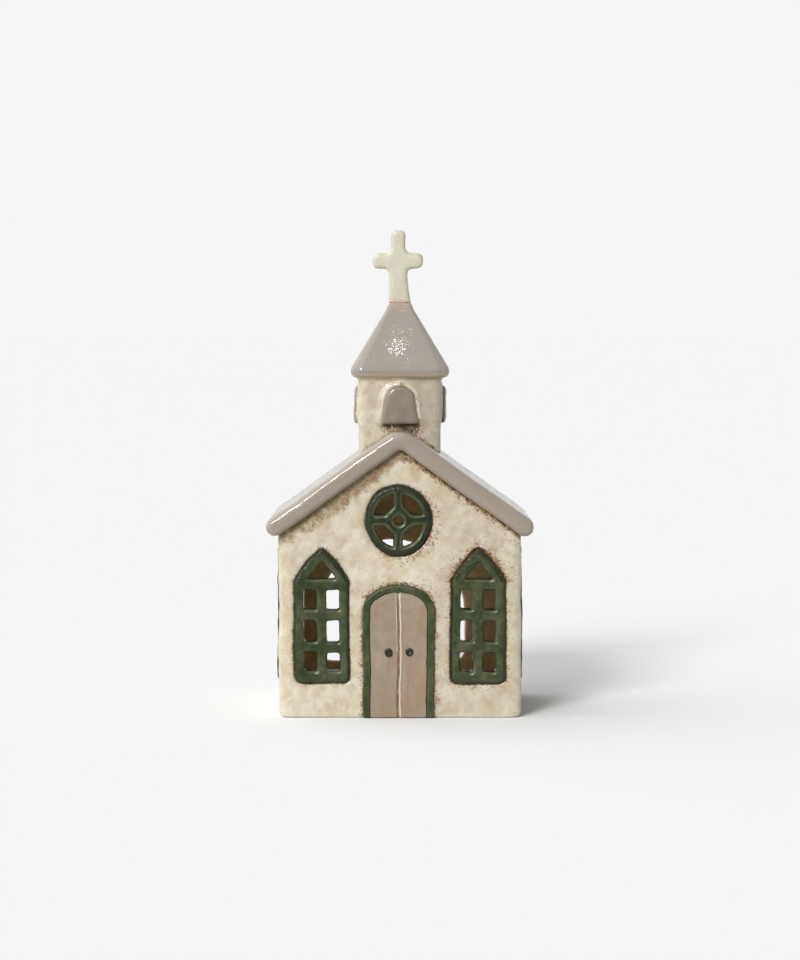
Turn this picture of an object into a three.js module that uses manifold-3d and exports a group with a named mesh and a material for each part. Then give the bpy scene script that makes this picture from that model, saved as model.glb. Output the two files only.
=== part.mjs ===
// A small glazed-stoneware church that holds a tealight: X to the right, Y to the back, Z up, millimetres.
// The origin is the middle of the footprint, on the surface that the church stands on.
import * as THREE from 'three';
import { mergeVertices } from 'three/addons/utils/BufferGeometryUtils.js';
import Module from 'manifold-3d';

const wasm = await Module();
wasm.setup();

// Nave: the four walls and the floor
const naveWidth = 108.8;
const naveDepth = 90;
const wallHeight = 82.2;
const wallThickness = 5;
const naveCornerRadius = 3.5;
const floorThickness = 4.5;
const footRecess = 1.5;

// Big roof: two slabs that meet at a rounded ridge, with round eaves
const roofPitch = THREE.MathUtils.degToRad(35.5);
const roofThickness = 8;
const eaveOverhang = 5.6;
const rakeOverhang = 5;
const ridgeRadius = 9.2;
const rakeEdgeRadius = 2.4;
const ventWidth = 27;

// Tower: a square shaft astride the ridge, a cornice, a hollow spire and a cross
const towerWidth = 37.2;
const towerWall = 4;
const towerCornerRadius = 2.4;
const towerBoreCornerRadius = 0.8;
const towerRise = 19.7;
const corniceHeight = 2;
const corniceReach = 1.9;
const spireHeight = 34.2;
const spireRimReach = 3.9;
const spireRimRise = 2.7;
const spireRimRound = 2.9;
const spireShoulderInset = 0.9;
const spireTopWidth = 10.2;
const spireNeckWidth = 12.9;
const spireNeckRise = 3.3;
const spireWall = 4.5;
const spireCornerRadius = 4.5;
const crossHeight = 33.3;
const crossDepth = 6.8;
const crossPostWidth = 8.4;
const crossHeadWidth = 7.2;
const crossArmSpan = 23;
const crossArmHeight = 7;
const crossArmDrop = 14;
const crossEdgeRadius = 2.4;
const crossFaceEdge = 1.7;
const crossFilletRadius = 2.2;
const crossShift = -0.9;

// Blind windows on the four faces of the tower
const louvreFootWidth = 17.4;
const louvreHeadWidth = 12.6;
const louvreHeight = 17.3;
const louvreHeadRise = 5.2;
const louvreRelief = 2.2;
const louvreRim = 1.6;
const louvreRimRelief = 1;
const louvreLift = 2.6;

// Pointed windows: two in front and two in each side wall
const lancetWidth = 23.8;
const lancetSill = 16;
const lancetJamb = 45.5;
const lancetHead = 14.7;
const lancetSwell = 0.9;
const lancetFootRadius = 2.2;
const lancetInset = 19.25;
const sideLancetSpacing = 39;
const lancetRail = 3.5;
const lancetMullion = 3.7;
const lancetFootBar = 4.8;
const lancetCrossBar = 4.2;
const lancetHeadRail = 3.1;
const paneRowHeights = [9.2, 10.2, 9.6];
const paneCornerRadius = 1.2;
const frontWindowRelief = 1.4;
const sideWindowRelief = 0.8;
const windowEdge = 0.6;

// Round window in the front gable
const roseWidth = 29.2;
const roseHeight = 31;
const roseCentreHeight = 89;
const roseRim = 3;
const roseUprightWidth = 3.6;
const roseCrosspieceWidth = 4.2;
const roseHubReach = 8.4;
const roseEyeRadius = 2.6;

// Double door on the front wall
const doorWidth = 25.8;
const doorSpring = 48.5;
const doorArchRise = 8.2;
const doorBand = 3;
const doorBandRelief = 1.7;
const doorLeafRelief = 1.1;
const doorGroove = 1.5;
const doorFootClearance = 0.4;
const doorEdge = 0.5;
const knobRadius = 1.8;
const knobRelief = 1.1;
const knobDimple = 0.5;
const knobEdge = 0.5;
const knobHeight = 29.8;
const knobSpacing = 9.4;
const frontMiddleShift = -0.7;

// Round-headed opening in the back wall, where the tealight goes in
const hatchRadius = 34.4;
const hatchSill = 16.4;
const hatchSpring = 40.2;
const hatchCornerRadius = 5;
const hatchShift = -3.7;

// Tealight
const cupRadius = 19;
const cupHeight = 16;
const cupWall = 0.5;
const cupLipRadius = 0.6;
const cupFootChamfer = 1;
const waxDrop = 1.8;
const tabRadius = 6.5;
const tabThickness = 0.5;
const tabNeckHeight = 3.4;
const tabNeckWall = 0.6;
const wickRadius = 0.9;
const wickReach = 7;

// Clearances: beside a piece in its opening, under a piece on its seat, and inside the tealight
const fitGap = 0.3;
const seatGap = 0.3;
const coreGap = 0.25;

// Fineness of round stretches
const arcSteps = 10;
const cornerSteps = 2;
const turnSteps = 36;
const curveSteps = 4;
const wickSides = 12;
const weldDistance = 1e-4;
const sharpestMitre = 0.3;

// What follows from the sizes above
const halfWidth = naveWidth / 2;
const halfDepth = naveDepth / 2;
const halfTower = towerWidth / 2;
const roofHalfDepth = halfDepth + rakeOverhang;
const pitchRise = Math.tan(roofPitch);
const roofUndersideApex = wallHeight + halfWidth * pitchRise;
const roofTopApex = roofUndersideApex + roofThickness / Math.cos(roofPitch);
const ridgeHeight = roofTopApex - ridgeRadius / Math.cos(roofPitch) + ridgeRadius;
const towerTop = roofTopApex + towerRise;
const spireBase = towerTop + corniceHeight;
const spireTop = spireBase + spireHeight;
const floorTop = footRecess + floorThickness;
const beyond = 10;

const glazes = {
  cream: { color: 0xded4bc, roughness: 0.35, metalness: 0 },
  ivory: { color: 0xebe8d7, roughness: 0.3, metalness: 0 },
  taupe: { color: 0xa59c94, roughness: 0.22, metalness: 0 },
  bottleGreen: { color: 0x324b32, roughness: 0.25, metalness: 0 },
  doorTaupe: { color: 0xa59484, roughness: 0.3, metalness: 0 },
  bareClay: { color: 0x50371f, roughness: 0.8, metalness: 0 },
  foil: { color: 0xc9cacb, roughness: 0.3, metalness: 1 },
  wax: { color: 0xf3efe4, roughness: 0.5, metalness: 0 },
  cotton: { color: 0xe9e4d4, roughness: 0.9, metalness: 0 },
};

// Points of an arc of an ellipse, both ends included
function arcPoints(centreX, centreY, radiusX, radiusY, from, to, steps) {
  const points = [];
  for (let i = 0; i <= steps; i++) {
    const angle = from + ((to - from) * i) / steps;
    points.push(new THREE.Vector2(centreX + radiusX * Math.cos(angle), centreY + radiusY * Math.sin(angle)));
  }
  return points;
}

// Outline through the corners [x, y, radius], each rounded to its radius
function rounded(corners, steps = cornerSteps) {
  const outline = [];
  corners.forEach(([x, y, radius], i) => {
    const corner = new THREE.Vector2(x, y);
    if (!radius) {
      outline.push(corner);
      return;
    }
    const before = corners.at(i - 1);
    const after = corners[(i + 1) % corners.length];
    const back = new THREE.Vector2(before[0] - x, before[1] - y).normalize();
    const ahead = new THREE.Vector2(after[0] - x, after[1] - y).normalize();
    const halfAngle = Math.acos(back.dot(ahead)) / 2;
    const tangent = radius / Math.tan(halfAngle);
    const bisector = back.clone().add(ahead).normalize();
    const middle = bisector.multiplyScalar(radius / Math.sin(halfAngle)).add(corner);
    const start = back.multiplyScalar(tangent).add(corner).sub(middle).angle();
    const side = Math.sign(new THREE.Vector2(x - before[0], y - before[1]).cross(ahead));
    const turn = side * (Math.PI - 2 * halfAngle);
    outline.push(...arcPoints(middle.x, middle.y, radius, radius, start, start + turn, steps));
  });
  return outline;
}

// Counter-clockwise outline moved outward by a distance, or inward when it is negative
function grown(outline, distance) {
  return outline.map((point, i) => {
    const before = point.clone().sub(outline.at(i - 1)).normalize();
    const after = outline[(i + 1) % outline.length].clone().sub(point).normalize();
    const normal = new THREE.Vector2(before.y + after.y, -before.x - after.x).normalize();
    const stretch = distance / Math.max(normal.dot(new THREE.Vector2(before.y, -before.x)), sharpestMitre);
    return normal.multiplyScalar(stretch).add(point);
  });
}

// Outline drawn in X and Z, made solid from one Y to another, its edges rounded by a bevel
function slab(outline, nearY, farY, { holes = [], edge = 0, edgeSteps = 1 } = {}) {
  const shape = new THREE.Shape(outline);
  shape.holes = holes.map((hole) => new THREE.Path(hole));
  const geometry = new THREE.ExtrudeGeometry(shape, {
    depth: farY - nearY - 2 * edge,
    bevelEnabled: edge > 0,
    bevelThickness: edge,
    bevelSize: edge,
    bevelOffset: -edge,
    bevelSegments: edgeSteps,
  });
  geometry.rotateX(Math.PI / 2);
  geometry.translate(0, farY - edge, 0);
  return geometry;
}

// Outline drawn in X and Y, made solid from one Z to another
function prism(outline, lowZ, highZ) {
  const shape = new THREE.Shape(outline);
  const geometry = new THREE.ExtrudeGeometry(shape, { depth: highZ - lowZ, bevelEnabled: false });
  geometry.translate(0, 0, lowZ);
  return geometry;
}

// Box between two corners
function block(low, high) {
  const size = high.map((value, i) => value - low[i]);
  const geometry = new THREE.BoxGeometry(...size);
  geometry.translate(...low.map((value, i) => value + size[i] / 2));
  return geometry;
}

// Square centred on the origin with round corners
function roundedSquare(width, radius) {
  const half = width / 2;
  const corners = [[half, -half], [half, half], [-half, half], [-half, -half]];
  return rounded(corners.map(([x, y]) => [x, y, radius]));
}

// Turned piece about Z from a profile of [radius, height] points that runs from the bottom outside to the top
function turned(profile) {
  const geometry = new THREE.LatheGeometry(profile.map(([r, z]) => new THREE.Vector2(r, z)), turnSteps);
  geometry.rotateX(Math.PI / 2);
  return geometry;
}

// Square piece from a profile of [half width, height] points: a lathe whose rings are drawn out to squares
function squareTurned(profile, cornerShare) {
  const widest = Math.max(...profile.map(([reach]) => reach));
  const ring = roundedSquare(2 * widest, cornerShare * widest);
  const geometry = new THREE.LatheGeometry(profile.map(([r, z]) => new THREE.Vector2(r, z)), ring.length);
  const places = geometry.getAttribute('position');
  for (let i = 0; i < places.count; i++) {
    const spoke = ring[Math.floor(i / profile.length) % ring.length];
    const [reach, height] = profile[i % profile.length];
    places.setXYZ(i, (spoke.x * reach) / widest, (spoke.y * reach) / widest, height);
  }
  return geometry;
}

// Closed mesh as a solid that can be joined and cut, moved by a matrix first
function asSolid(geometry, matrix = new THREE.Matrix4()) {
  const bare = geometry.clone().applyMatrix4(matrix);
  bare.deleteAttribute('normal');
  bare.deleteAttribute('uv');
  const merged = mergeVertices(bare, weldDistance);
  return new wasm.Manifold(new wasm.Mesh({
    numProp: 3,
    vertProperties: new Float32Array(merged.getAttribute('position').array),
    triVerts: new Uint32Array(merged.getIndex().array),
  }));
}

// Solid back to a geometry with flat-shaded faces
function asGeometry(solid) {
  const mesh = solid.getMesh();
  const indexed = new THREE.BufferGeometry();
  indexed.setAttribute('position', new THREE.BufferAttribute(new Float32Array(mesh.vertProperties), 3));
  indexed.setIndex(new THREE.BufferAttribute(new Uint32Array(mesh.triVerts), 1));
  const geometry = indexed.toNonIndexed();
  geometry.computeVertexNormals();
  return geometry;
}

// First solid with the others cut out of it
function cut(solid, ...cutters) {
  return cutters.reduce((rest, cutter) => rest.subtract(cutter), solid);
}

const church = new THREE.Group();
church.name = 'church_tealight_holder';

// Named mesh in its glaze, standing in a group
function place(name, geometry, glaze, parent = church) {
  const mesh = new THREE.Mesh(geometry, new THREE.MeshStandardMaterial(glazes[glaze]));
  mesh.name = name;
  parent.add(mesh);
  return mesh;
}

// Group that stands on a wall: its own X runs along the wall and its own -Y points away from it
function wallFrame(x, y, turn) {
  const frame = new THREE.Group();
  frame.position.set(x, y, 0);
  frame.rotation.z = turn;
  frame.updateMatrix();
  church.add(frame);
  return frame;
}

// Underside of the big roof over a place across the nave
function roofUnderside(x) {
  return roofUndersideApex - Math.abs(x) * pitchRise;
}

// Top of a wall under the roof, a seat gap below the slab
function wallTop(x) {
  return roofUnderside(x) - seatGap / Math.cos(roofPitch);
}

// Outline of a pointed window in its own X and height
function lancetOutline() {
  const half = lancetWidth / 2;
  const shoulder = lancetSill + lancetJamb;
  const apex = shoulder + lancetHead;
  const slope = new THREE.Vector2(-half, lancetHead).normalize();
  const swell = new THREE.Vector2(slope.y, -slope.x).multiplyScalar(2 * lancetSwell);
  const rightHead = new THREE.QuadraticBezierCurve(
    new THREE.Vector2(half, shoulder),
    new THREE.Vector2(half / 2, shoulder + lancetHead / 2).add(swell),
    new THREE.Vector2(0, apex),
  ).getPoints(curveSteps);
  const leftHead = rightHead.slice(0, -1).reverse().map((point) => new THREE.Vector2(-point.x, point.y));
  const foot = rounded([
    [-half, shoulder, 0],
    [-half, lancetSill, lancetFootRadius],
    [half, lancetSill, lancetFootRadius],
    [half, shoulder, 0],
  ]);
  return [...foot.slice(1, -1), ...rightHead, ...leftHead];
}

// Panes of a pointed window: rows of two, and one under the point
function lancetPanes() {
  const half = lancetWidth / 2;
  const inner = lancetMullion / 2;
  const outer = half - lancetRail;
  const panes = [];
  let sill = lancetSill + lancetFootBar;
  for (const height of paneRowHeights) {
    const top = sill + height;
    for (const side of [-1, 1]) {
      const [left, right] = [side * inner, side * outer].sort((a, b) => a - b);
      panes.push(rounded([
        [left, sill, paneCornerRadius],
        [right, sill, paneCornerRadius],
        [right, top, paneCornerRadius],
        [left, top, paneCornerRadius],
      ]));
    }
    sill = top + lancetCrossBar;
  }
  const headAngle = Math.atan2(half, lancetHead);
  const apex = lancetSill + lancetJamb + lancetHead - lancetHeadRail / Math.sin(headAngle);
  const reach = (apex - sill) * Math.tan(headAngle);
  panes.push(rounded([
    [-reach, sill, paneCornerRadius / 2],
    [reach, sill, paneCornerRadius / 2],
    [0, apex, paneCornerRadius / 2],
  ]));
  return panes;
}

// Pierced window frame, through the wall and proud of its face by a relief
function tracery(outline, panes, relief) {
  return slab(outline, -relief, wallThickness, { holes: panes, edge: windowEdge });
}

// Frame of a pointed window
function lancetGeometry(relief) {
  return tracery(lancetOutline(), lancetPanes(), relief);
}

// Cutter for the opening that a window frame fits in, in the wall's own frame
function windowCutter(outline, frame) {
  return asSolid(slab(grown(outline, fitGap), -beyond, wallThickness + beyond), frame.matrix);
}

// Outline of the round window about its own centre height
function roseOutline() {
  const ring = arcPoints(0, roseCentreHeight, roseWidth / 2, roseHeight / 2, 0, 2 * Math.PI, 4 * arcSteps);
  return ring.slice(0, -1);
}

// Openings of the round window: four quarters between the spokes, and the eye of the hub
function rosePanes() {
  const reachX = roseWidth / 2 - roseRim;
  const reachZ = roseHeight / 2 - roseRim;
  const upright = roseUprightWidth / 2;
  const crosspiece = roseCrosspieceWidth / 2;
  const from = Math.asin(crosspiece / reachZ);
  const to = Math.acos(upright / reachX);
  const quarter = [
    new THREE.Vector2(upright, roseHubReach - upright),
    new THREE.Vector2(roseHubReach - crosspiece, crosspiece),
    ...arcPoints(0, 0, reachX, reachZ, from, to, arcSteps),
  ];
  const panes = [];
  for (const [signX, signZ] of [[1, 1], [-1, 1], [-1, -1], [1, -1]]) {
    const mirrored = quarter.map(({ x, y }) => new THREE.Vector2(signX * x, roseCentreHeight + signZ * y));
    panes.push(mirrored);
  }
  const eye = arcPoints(0, roseCentreHeight, roseEyeRadius, roseEyeRadius, 0, 2 * Math.PI, arcSteps);
  return [...panes, eye.slice(0, -1)];
}

// Outline of the door leaves together: upright sides and a flat arch
function doorOutline() {
  const half = doorWidth / 2;
  return [
    new THREE.Vector2(-half, 0),
    new THREE.Vector2(half, 0),
    ...arcPoints(0, doorSpring, half, doorArchRise, 0, Math.PI, 2 * arcSteps),
  ];
}

// Outline of the back opening
function hatchOutline() {
  const foot = rounded([
    [-hatchRadius, hatchSpring, 0],
    [-hatchRadius, hatchSill, hatchCornerRadius],
    [hatchRadius, hatchSill, hatchCornerRadius],
    [hatchRadius, hatchSpring, 0],
  ], cornerSteps + 1);
  const head = arcPoints(0, hatchSpring, hatchRadius, hatchRadius, 0, Math.PI, 2 * arcSteps);
  return [...foot.slice(1, -1), ...head];
}

// Gable wall between two depths, its upright corners rounded to the plan of the nave
function gableWall(nearY, farY) {
  const gable = [
    new THREE.Vector2(-halfWidth, 0),
    new THREE.Vector2(halfWidth, 0),
    new THREE.Vector2(halfWidth, wallTop(halfWidth)),
    new THREE.Vector2(0, wallTop(0)),
    new THREE.Vector2(-halfWidth, wallTop(halfWidth)),
  ];
  const plan = rounded([
    [-halfWidth, -halfDepth, naveCornerRadius],
    [halfWidth, -halfDepth, naveCornerRadius],
    [halfWidth, halfDepth, naveCornerRadius],
    [-halfWidth, halfDepth, naveCornerRadius],
  ], cornerSteps + 1);
  return asSolid(slab(gable, nearY, farY)).intersect(asSolid(prism(plan, -beyond, roofTopApex)));
}

// Front wall, its windows and its door
function buildFront() {
  const rose = wallFrame(frontMiddleShift, -halfDepth, 0);
  const lancets = [-1, 1].map((side) => wallFrame(side * (halfWidth - lancetInset), -halfDepth, 0));
  const cutters = [windowCutter(roseOutline(), rose)];
  cutters.push(...lancets.map((frame) => windowCutter(lancetOutline(), frame)));
  const wall = cut(gableWall(-halfDepth, -halfDepth + wallThickness), ...cutters);
  place('front_wall', asGeometry(wall), 'cream');
  place('rose_window', tracery(roseOutline(), rosePanes(), frontWindowRelief), 'bottleGreen', rose);
  place('lancet_window_left', lancetGeometry(frontWindowRelief), 'bottleGreen', lancets[0]);
  place('lancet_window_right', lancetGeometry(frontWindowRelief), 'bottleGreen', lancets[1]);
}

// Back wall with the opening for the tealight
function buildBack() {
  const frame = wallFrame(hatchShift, halfDepth, 0);
  const hatch = asSolid(slab(hatchOutline(), -wallThickness - beyond, beyond), frame.matrix);
  place('back_wall', asGeometry(cut(gableWall(halfDepth - wallThickness, halfDepth), hatch)), 'cream');
}

// Side wall between the gable walls, with two pointed windows
function buildSide(side, word) {
  const faceX = side * halfWidth;
  const innerX = side * (halfWidth - wallThickness);
  const [left, right] = [faceX, innerX].sort((a, b) => a - b);
  const section = [
    new THREE.Vector2(left, 0),
    new THREE.Vector2(right, 0),
    new THREE.Vector2(right, wallTop(right)),
    new THREE.Vector2(left, wallTop(left)),
  ];
  const frames = [-1, 1].map((end) => wallFrame(faceX, (end * sideLancetSpacing) / 2, (side * Math.PI) / 2));
  const cutters = frames.map((frame) => windowCutter(lancetOutline(), frame));
  const wall = asSolid(slab(section, -halfDepth + wallThickness, halfDepth - wallThickness));
  place(`side_wall_${word}`, asGeometry(cut(wall, ...cutters)), 'cream');
  place(`side_window_${word}_front`, lancetGeometry(sideWindowRelief), 'bottleGreen', frames[0]);
  place(`side_window_${word}_back`, lancetGeometry(sideWindowRelief), 'bottleGreen', frames[1]);
}

// Floor let in between the walls, a little above their feet
function buildFloor() {
  const reachX = halfWidth - wallThickness;
  const reachY = halfDepth - wallThickness;
  place('floor_slab', block([-reachX, -reachY, footRecess], [reachX, reachY, floorTop]), 'bareClay');
}

// Band round the sides and head of an outline whose first two points are its feet, from a footing line up
function archBand(outline, width, footing) {
  const lift = (points) => points.map((point) => new THREE.Vector2(point.x, Math.max(point.y, footing)));
  const inner = lift(outline);
  const outer = lift(grown(outline, width));
  return [outer[0], inner[0], ...inner.slice(2).reverse(), inner[1], outer[1], ...outer.slice(2)];
}

// Surround, two leaves and two knobs, all on the face of the front wall
function buildDoor() {
  const frame = wallFrame(frontMiddleShift, -halfDepth, 0);
  const surround = archBand(doorOutline(), doorBand, doorFootClearance);
  place('door_surround', slab(surround, -doorBandRelief, 0, { edge: doorEdge }), 'bottleGreen', frame);
  const leafOutline = grown(doorOutline(), -fitGap);
  leafOutline.forEach((point) => point.setY(Math.max(point.y, doorFootClearance)));
  const leaf = asSolid(slab(leafOutline, -doorLeafRelief, 0));
  const knobFace = -doorLeafRelief;
  for (const [side, word] of [[-1, 'left'], [1, 'right']]) {
    const reach = side * (doorWidth + beyond);
    const [low, high] = [(side * doorGroove) / 2, reach].sort((a, b) => a - b);
    const half = asSolid(block([low, -beyond, -beyond], [high, beyond, doorSpring + doorArchRise + beyond]));
    place(`door_leaf_${word}`, asGeometry(leaf.intersect(half)), 'doorTaupe', frame);
    const knob = place(`door_knob_${word}`, turned([
      [0, 0],
      [knobRadius, 0],
      [knobRadius, knobRelief - knobEdge],
      [knobRadius - knobEdge, knobRelief],
      [0, knobRelief - knobDimple],
    ]), 'bottleGreen', frame);
    knob.rotation.x = Math.PI / 2;
    knob.position.set((side * knobSpacing) / 2, knobFace, knobHeight);
  }
}

// Arc over the ridge from the right slope to the left one, at a radius about the ridge's own centre
function ridgeArc(radius) {
  const centre = roofTopApex - ridgeRadius / Math.cos(roofPitch);
  const square = Math.PI / 2;
  return arcPoints(0, centre, radius, radius, square - roofPitch, square + roofPitch, arcSteps);
}

// Section of the big roof: underside, round eaves and rounded ridge
function roofSection() {
  const half = roofThickness / 2;
  const eaveX = halfWidth + eaveOverhang - half;
  const eaveZ = roofUnderside(eaveX) + half / Math.cos(roofPitch);
  const square = Math.PI / 2;
  return [
    new THREE.Vector2(0, roofUndersideApex),
    ...arcPoints(eaveX, eaveZ, half, half, -square - roofPitch, square - roofPitch, arcSteps),
    ...ridgeArc(ridgeRadius),
    ...arcPoints(-eaveX, eaveZ, half, half, square + roofPitch, 3 * square + roofPitch, arcSteps),
  ];
}

// Two roof slabs, split at the ridge, with a square hole up into the tower
function buildRoof() {
  const rounding = { edge: rakeEdgeRadius, edgeSteps: curveSteps };
  const whole = asSolid(slab(roofSection(), -roofHalfDepth, roofHalfDepth, rounding));
  const hole = asSolid(block([-ventWidth / 2, -ventWidth / 2, 0], [ventWidth / 2, ventWidth / 2, towerTop]));
  const open = cut(whole, hole);
  const reach = halfWidth + eaveOverhang + beyond;
  for (const [side, word] of [[-1, 'left'], [1, 'right']]) {
    const [low, high] = [0, side * reach].sort((a, b) => a - b);
    const half = asSolid(block([low, -roofHalfDepth - beyond, 0], [high, roofHalfDepth + beyond, towerTop]));
    place(`roof_slope_${word}`, asGeometry(open.intersect(half)), 'taupe');
  }
}

// Square shaft whose foot is cut to sit astride the ridge
function buildTowerShaft() {
  const bore = towerWidth - 2 * towerWall;
  const saddleRadius = ridgeRadius + seatGap;
  const reach = towerWidth;
  const edgeZ = roofTopApex + seatGap / Math.cos(roofPitch) - reach * pitchRise;
  const saddle = [
    new THREE.Vector2(-reach, 0),
    new THREE.Vector2(reach, 0),
    new THREE.Vector2(reach, edgeZ),
    ...ridgeArc(saddleRadius),
    new THREE.Vector2(-reach, edgeZ),
  ];
  const plan = roundedSquare(towerWidth, towerCornerRadius);
  const shaft = asSolid(prism(plan, roofTopApex - towerWidth, towerTop));
  const inside = asSolid(prism(roundedSquare(bore, towerBoreCornerRadius), 0, towerTop + beyond));
  const roofBelow = asSolid(slab(saddle, -reach, reach));
  place('tower_shaft', asGeometry(cut(shaft, inside, roofBelow)), 'cream');
}

// Square ring that widens from the shaft to the rim of the spire
function buildCornice() {
  const bore = halfTower - towerWall;
  const reach = halfTower + corniceReach;
  const cove = arcPoints(reach, towerTop, corniceReach, corniceHeight, Math.PI, Math.PI / 2, curveSteps);
  const edge = cove.map((point) => [point.x, point.y]);
  const profile = [[bore, towerTop], ...edge, [bore, spireBase], [bore, towerTop]];
  place('tower_cornice', squareTurned(profile, towerCornerRadius / halfTower), 'cream');
}

// Hollow four-sided spire with a thick round rim
function buildSpire() {
  const rim = halfTower + spireRimReach;
  const seat = halfTower + corniceReach;
  const top = spireTopWidth / 2;
  const rimZ = spireBase + spireRimRise;
  const shoulderZ = rimZ + spireRimRound;
  const shoulder = rim - spireShoulderInset;
  const bore = halfTower - towerWall;
  const neck = spireNeckWidth / 2;
  const neckZ = spireTop - spireNeckRise;
  const steepness = (neckZ - shoulderZ) / (shoulder - neck);
  const hollowApex = shoulderZ + shoulder * steepness - spireWall * Math.hypot(1, steepness);
  const hollowTop = neckZ - spireWall;
  const underside = arcPoints(seat, rimZ, rim - seat, spireRimRise, -Math.PI / 2, 0, curveSteps);
  const brow = new THREE.QuadraticBezierCurve(
    new THREE.Vector2(rim, rimZ),
    new THREE.Vector2(rim, shoulderZ - spireShoulderInset * steepness),
    new THREE.Vector2(shoulder, shoulderZ),
  ).getPoints(curveSteps).slice(1);
  place('spire', squareTurned([
    [0, hollowTop],
    [(hollowApex - hollowTop) / steepness, hollowTop],
    [bore, hollowApex - bore * steepness],
    [bore, spireBase],
    ...[...underside, ...brow].map((point) => [point.x, point.y]),
    [neck, neckZ],
    [top, spireTop],
    [0, spireTop],
  ], spireCornerRadius / rim), 'taupe');
}

// Cross that stands on the flat top of the spire
function buildCross() {
  const post = crossPostWidth / 2;
  const head = crossHeadWidth / 2;
  const arm = crossArmSpan / 2;
  const top = spireTop + crossHeight;
  const armTop = top - crossArmDrop + crossArmHeight / 2;
  const armFoot = top - crossArmDrop - crossArmHeight / 2;
  const edge = crossEdgeRadius;
  const fillet = crossFilletRadius;
  const right = [
    [post, spireTop, edge],
    [post, armFoot, fillet],
    [arm, armFoot, edge],
    [arm, armTop, edge],
    [head, armTop, fillet],
    [head, top, edge],
  ];
  const left = right.map(([x, z, radius]) => [-x, z, radius]).reverse();
  const cross = place('cross', slab(rounded([...right, ...left], curveSteps), -crossDepth / 2, crossDepth / 2,
    { edge: crossFaceEdge, edgeSteps: curveSteps }), 'ivory');
  cross.position.x = crossShift;
}

// Outline of a blind window on the tower
function louvreOutline() {
  const foot = louvreFootWidth / 2;
  const head = louvreHeadWidth / 2;
  const sill = ridgeHeight + louvreLift;
  const spring = sill + louvreHeight - louvreHeadRise;
  return [
    new THREE.Vector2(-foot, sill),
    new THREE.Vector2(foot, sill),
    ...arcPoints(0, spring, head, louvreHeadRise, 0, Math.PI, arcSteps),
  ];
}

// Blind window on each face of the tower: a raised rim round a proud panel
function buildTowerWindows() {
  const faces = [['front', 0], ['right', 1], ['back', 2], ['left', 3]];
  const outline = louvreOutline();
  const rim = archBand(outline, louvreRim, outline[0].y);
  for (const [word, quarter] of faces) {
    const turn = (quarter * Math.PI) / 2;
    const frame = wallFrame(halfTower * Math.sin(turn), -halfTower * Math.cos(turn), turn);
    place(`tower_window_surround_${word}`, slab(rim, -louvreRimRelief, 0), 'cream', frame);
    place(`tower_shutter_${word}`, slab(grown(outline, -fitGap), -louvreRelief, 0), 'taupe', frame);
  }
}

// Tealight: a drawn cup, a cake of wax, a wick and the tab that holds the wick up
function buildTealight() {
  const tealight = new THREE.Group();
  tealight.position.z = floorTop;
  church.add(tealight);
  const inner = cupRadius - cupWall;
  const lip = cupRadius + cupLipRadius;
  place('tealight_cup', turned([
    [0, 0],
    [cupRadius - cupFootChamfer, 0],
    [cupRadius, cupFootChamfer],
    [cupRadius, cupHeight - 2 * cupLipRadius],
    [lip, cupHeight - cupLipRadius],
    [cupRadius, cupHeight],
    [inner, cupHeight - cupLipRadius],
    [inner, cupWall],
    [0, cupWall],
  ]), 'foil', tealight);
  const tabTop = cupWall + tabThickness;
  const bore = wickRadius + coreGap;
  const neck = bore + tabNeckWall;
  const waxTop = cupHeight - waxDrop;
  const waxRadius = inner - coreGap;
  const shelf = tabTop + coreGap;
  const throat = tabTop + tabNeckHeight + coreGap;
  place('tealight_wax', turned([
    [tabRadius + coreGap, cupWall],
    [waxRadius, cupWall],
    [waxRadius, waxTop],
    [bore, waxTop],
    [bore, throat],
    [neck + coreGap, throat],
    [neck + coreGap, shelf],
    [tabRadius + coreGap, shelf],
    [tabRadius + coreGap, cupWall],
  ]), 'wax', tealight);
  place('wick_tab', turned([
    [0, cupWall],
    [tabRadius, cupWall],
    [tabRadius, tabTop],
    [neck, tabTop],
    [neck, tabTop + tabNeckHeight],
    [bore, tabTop + tabNeckHeight],
    [bore, tabTop],
    [0, tabTop],
  ]), 'foil', tealight);
  const wickLength = waxTop + wickReach - tabTop;
  const cord = new THREE.CylinderGeometry(wickRadius, wickRadius, wickLength, wickSides);
  const wick = place('wick', cord, 'cotton', tealight);
  wick.rotation.x = Math.PI / 2;
  wick.position.z = tabTop + wickLength / 2;
}

buildFloor();
buildFront();
buildBack();
buildSide(-1, 'left');
buildSide(1, 'right');
buildDoor();
buildRoof();
buildTowerShaft();
buildTowerWindows();
buildCornice();
buildSpire();
buildCross();
buildTealight();

export default church;
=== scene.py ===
"""Dresses a small glazed-stoneware church that holds a tealight, and stands it on a pale studio floor."""
import math

import bmesh
import bpy
from bpy.props import FloatProperty, FloatVectorProperty, PointerProperty
from bpy.types import Operator, Panel, PropertyGroup
from mathutils import Matrix, Vector, noise
from mathutils.bvhtree import BVHTree


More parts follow.
